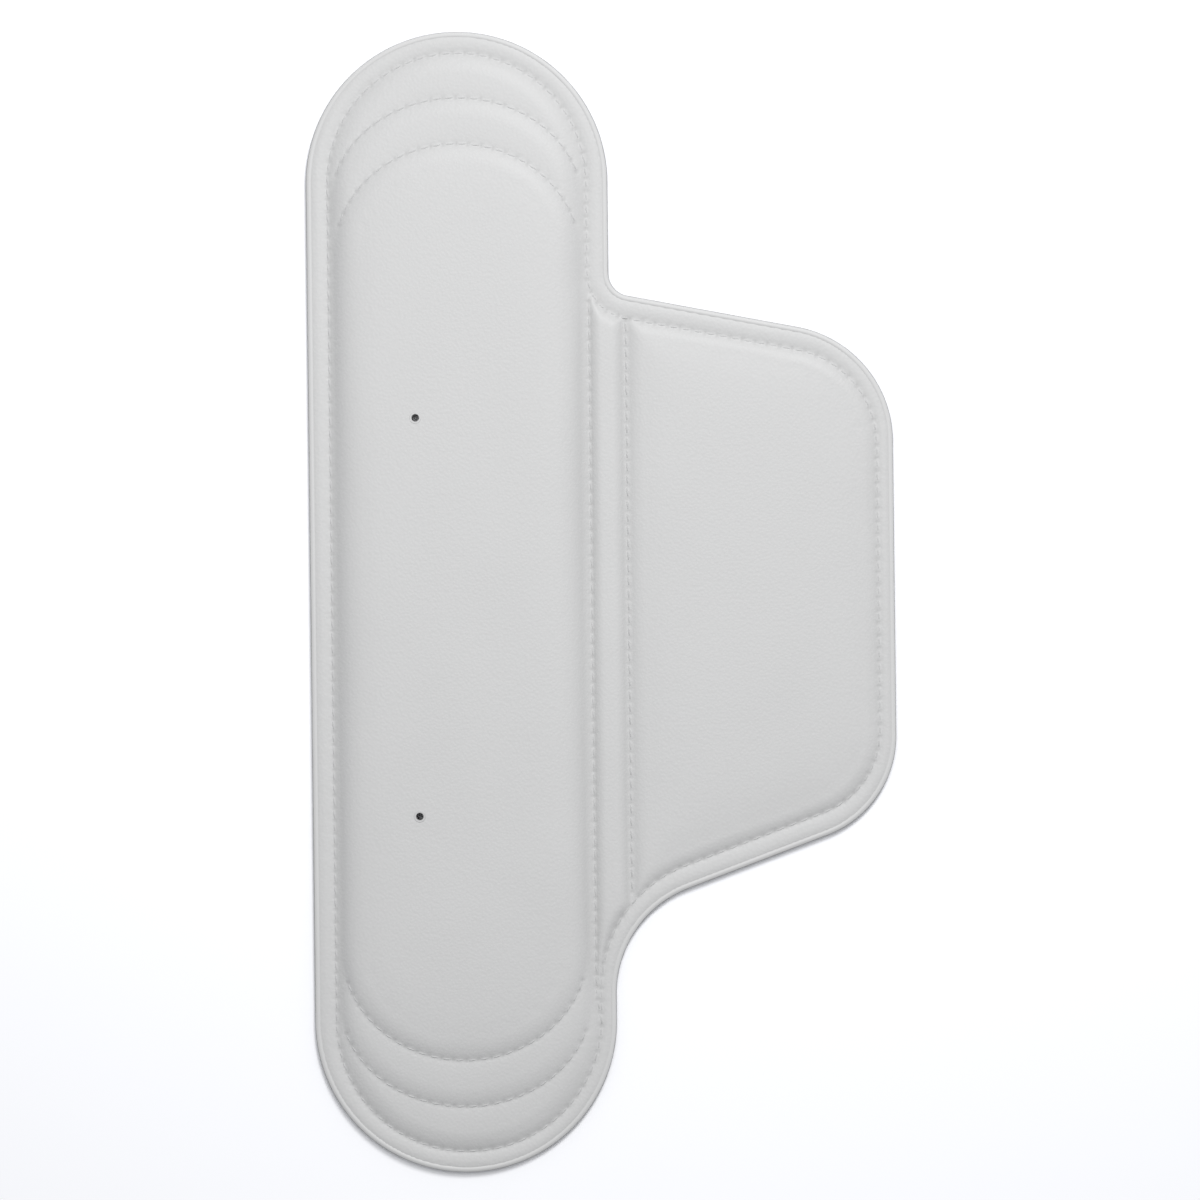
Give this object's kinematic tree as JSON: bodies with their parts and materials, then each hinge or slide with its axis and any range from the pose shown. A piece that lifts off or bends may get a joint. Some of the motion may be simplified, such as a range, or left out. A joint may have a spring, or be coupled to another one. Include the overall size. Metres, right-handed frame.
{
  "type": "cricket leg pad",
  "caption": "Flat padded shin bolster with stepped quilted ends, a raised side rib and a folding calf wing on a stitched hinge line.",
  "frame": {"origin": "centre of the shin bolster on the pad's flat back face, which lies against the leg", "axes": "+X across the pad towards the calf wing, +Y up the shin towards the knee, +Z out of the padded front"},
  "size_m": [0.2305, 0.45, 0.0104],
  "materials": {
    "coated_fabric": "matte",
    "brushed_lining": "matte",
    "firm_foam": "matte",
    "soft_foam": "matte",
    "board": "satin",
    "thread": "matte",
    "lacquered_metal": "satin"
  },
  "bodies": {
    "shin": {"shin_cover": "coated_fabric", "shin_lining": "brushed_lining", "shin_comfort_foam": "soft_foam", "shin_base_foam": "firm_foam", "shin_stiffening_board": "board", "shin_middle_foam": "firm_foam", "shin_top_foam": "firm_foam", "rib_foam": "firm_foam", "shin_piping": "coated_fabric", "shin_edge_stitching": "thread", "rib_stitching": "thread", "fold_stitching": "thread", "knee_outer_step_stitching": "thread", "knee_inner_step_stitching": "thread", "foot_inner_step_stitching": "thread", "foot_outer_step_stitching": "thread", "upper_eyelet": "lacquered_metal", "lower_eyelet": "lacquered_metal", "fold_seam": "coated_fabric"},
    "wing": {"wing_cover": "coated_fabric", "wing_lining": "brushed_lining", "wing_comfort_foam": "soft_foam", "wing_core_foam": "firm_foam", "wing_piping": "coated_fabric", "wing_edge_stitching": "thread"}
  },
  "joints": [
    {"name": "wing_fold", "type": "hinge", "parent": "shin", "child": "wing", "pos_m": [0.066, 0, 0.00175], "axis": [0, 1, 0], "range_deg": [-45, 80], "stiffness_Nm_per_rad": 0.03}
  ]
}
